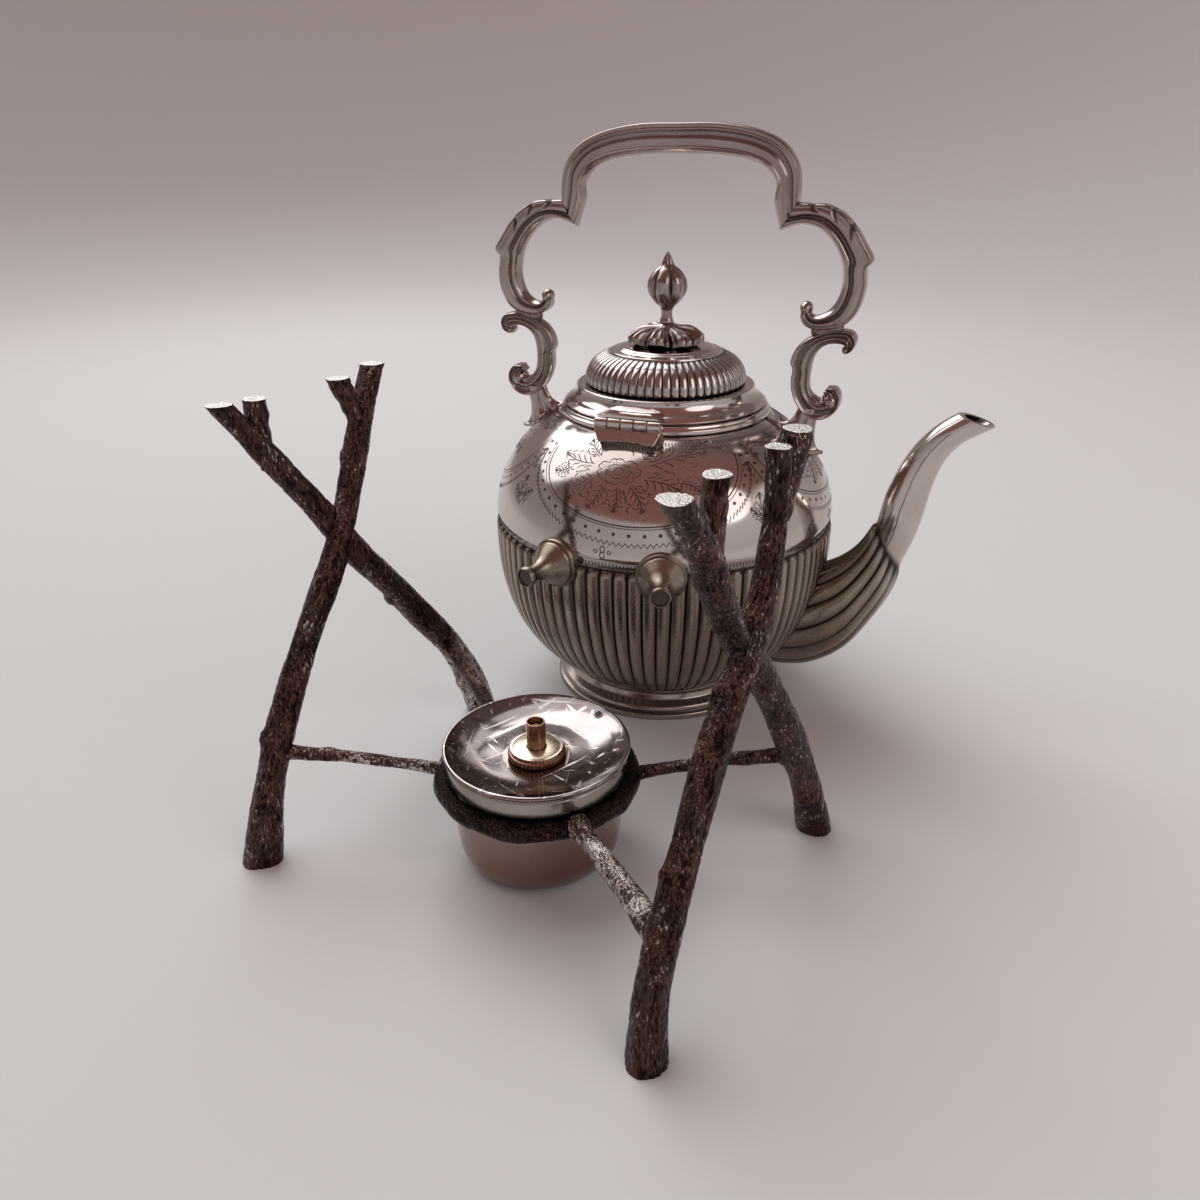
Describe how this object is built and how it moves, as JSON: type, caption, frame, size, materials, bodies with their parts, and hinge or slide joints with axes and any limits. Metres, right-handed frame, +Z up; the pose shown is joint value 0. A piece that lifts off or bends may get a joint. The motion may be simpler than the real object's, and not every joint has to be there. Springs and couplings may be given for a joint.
{
  "type": "spirit kettle",
  "caption": "Spirit kettle with fluted body, hinged lid, curved spout and arched handle, beside a stand of crossed branches that holds a round spirit burner in a ring.",
  "frame": {"origin": "centre of the bounding box at table height, so the kettle lies towards +Y and the burner stand towards -Y", "axes": "+Z up, +Y from the burner stand towards the kettle, +X towards the side that the spout points to"},
  "size_m": [0.2142, 0.312, 0.249],
  "materials": {
    "polished_silver": "polished silver plate with fine wiping scratches and grey tarnish in the hollows",
    "worn_silver": "polished silver plate, darker in the grooves and rubbed bright on the edges",
    "oxidised_branch": "cast bark with a dark oxidised silver finish, worn bright on the ridges and on the sawn tips",
    "burner_brass": "brass with the silver plate mostly worn away, brown from heat",
    "wick_cotton": "braided cotton, scorched at its end"
  },
  "bodies": {
    "stand": {"leg_front_left": "oxidised_branch", "fork_prong_front_left": "oxidised_branch", "ring_arm_front_left": "oxidised_branch", "leg_rear_left": "oxidised_branch", "fork_prong_rear_left": "oxidised_branch", "ring_arm_rear_left": "oxidised_branch", "leg_front_right": "oxidised_branch", "fork_prong_front_right": "oxidised_branch", "ring_arm_front_right": "oxidised_branch", "leg_rear_right": "oxidised_branch", "fork_prong_rear_right": "oxidised_branch", "ring_arm_rear_right": "oxidised_branch", "burner_ring": "oxidised_branch"},
    "burner": {"burner_bowl": "polished_silver", "burner_drum": "polished_silver", "burner_dish": "worn_silver", "burner_bush": "burner_brass"},
    "wick_holder": {"wick_collar": "burner_brass", "wick_tube": "burner_brass", "wick": "wick_cotton"},
    "kettle": {"kettle_body": "polished_silver", "kettle_foot": "polished_silver", "kettle_collar": "polished_silver", "spout": "polished_silver", "handle_grip": "worn_silver", "handle_scroll_front": "worn_silver", "handle_scroll_rear": "worn_silver", "handle_bracket_front": "worn_silver", "handle_bracket_rear": "worn_silver", "stud_near_rear": "polished_silver", "stud_near_front": "polished_silver", "stud_far_rear": "polished_silver", "stud_far_front": "polished_silver", "hinge_leaf_body": "polished_silver", "hinge_pin": "polished_silver"},
    "lid": {"hinge_leaf_lid": "polished_silver", "lid_flange": "polished_silver", "lid_bezel": "polished_silver", "lid_dome": "polished_silver", "finial_calyx": "worn_silver", "finial_bud": "worn_silver", "finial_nut": "worn_silver"}
  },
  "joints": [
    {"name": "kettle_lift", "type": "slide", "parent": "stand", "child": "kettle", "axis": [0, 0, 1], "range_m": [0, 0.12]},
    {"name": "lid_hinge", "type": "hinge", "parent": "kettle", "child": "lid", "pos_m": [-0.01869, 0.00919, 0.1386], "axis": [0.9781, 0.2079, 0], "range_deg": [0, 105]},
    {"name": "burner_lift", "type": "slide", "parent": "stand", "child": "burner", "axis": [0, 0, 1], "range_m": [0, 0.2]},
    {"name": "wick_holder_lift", "type": "slide", "parent": "burner", "child": "wick_holder", "axis": [0, 0, 1], "range_m": [0, 0.06]}
  ]
}
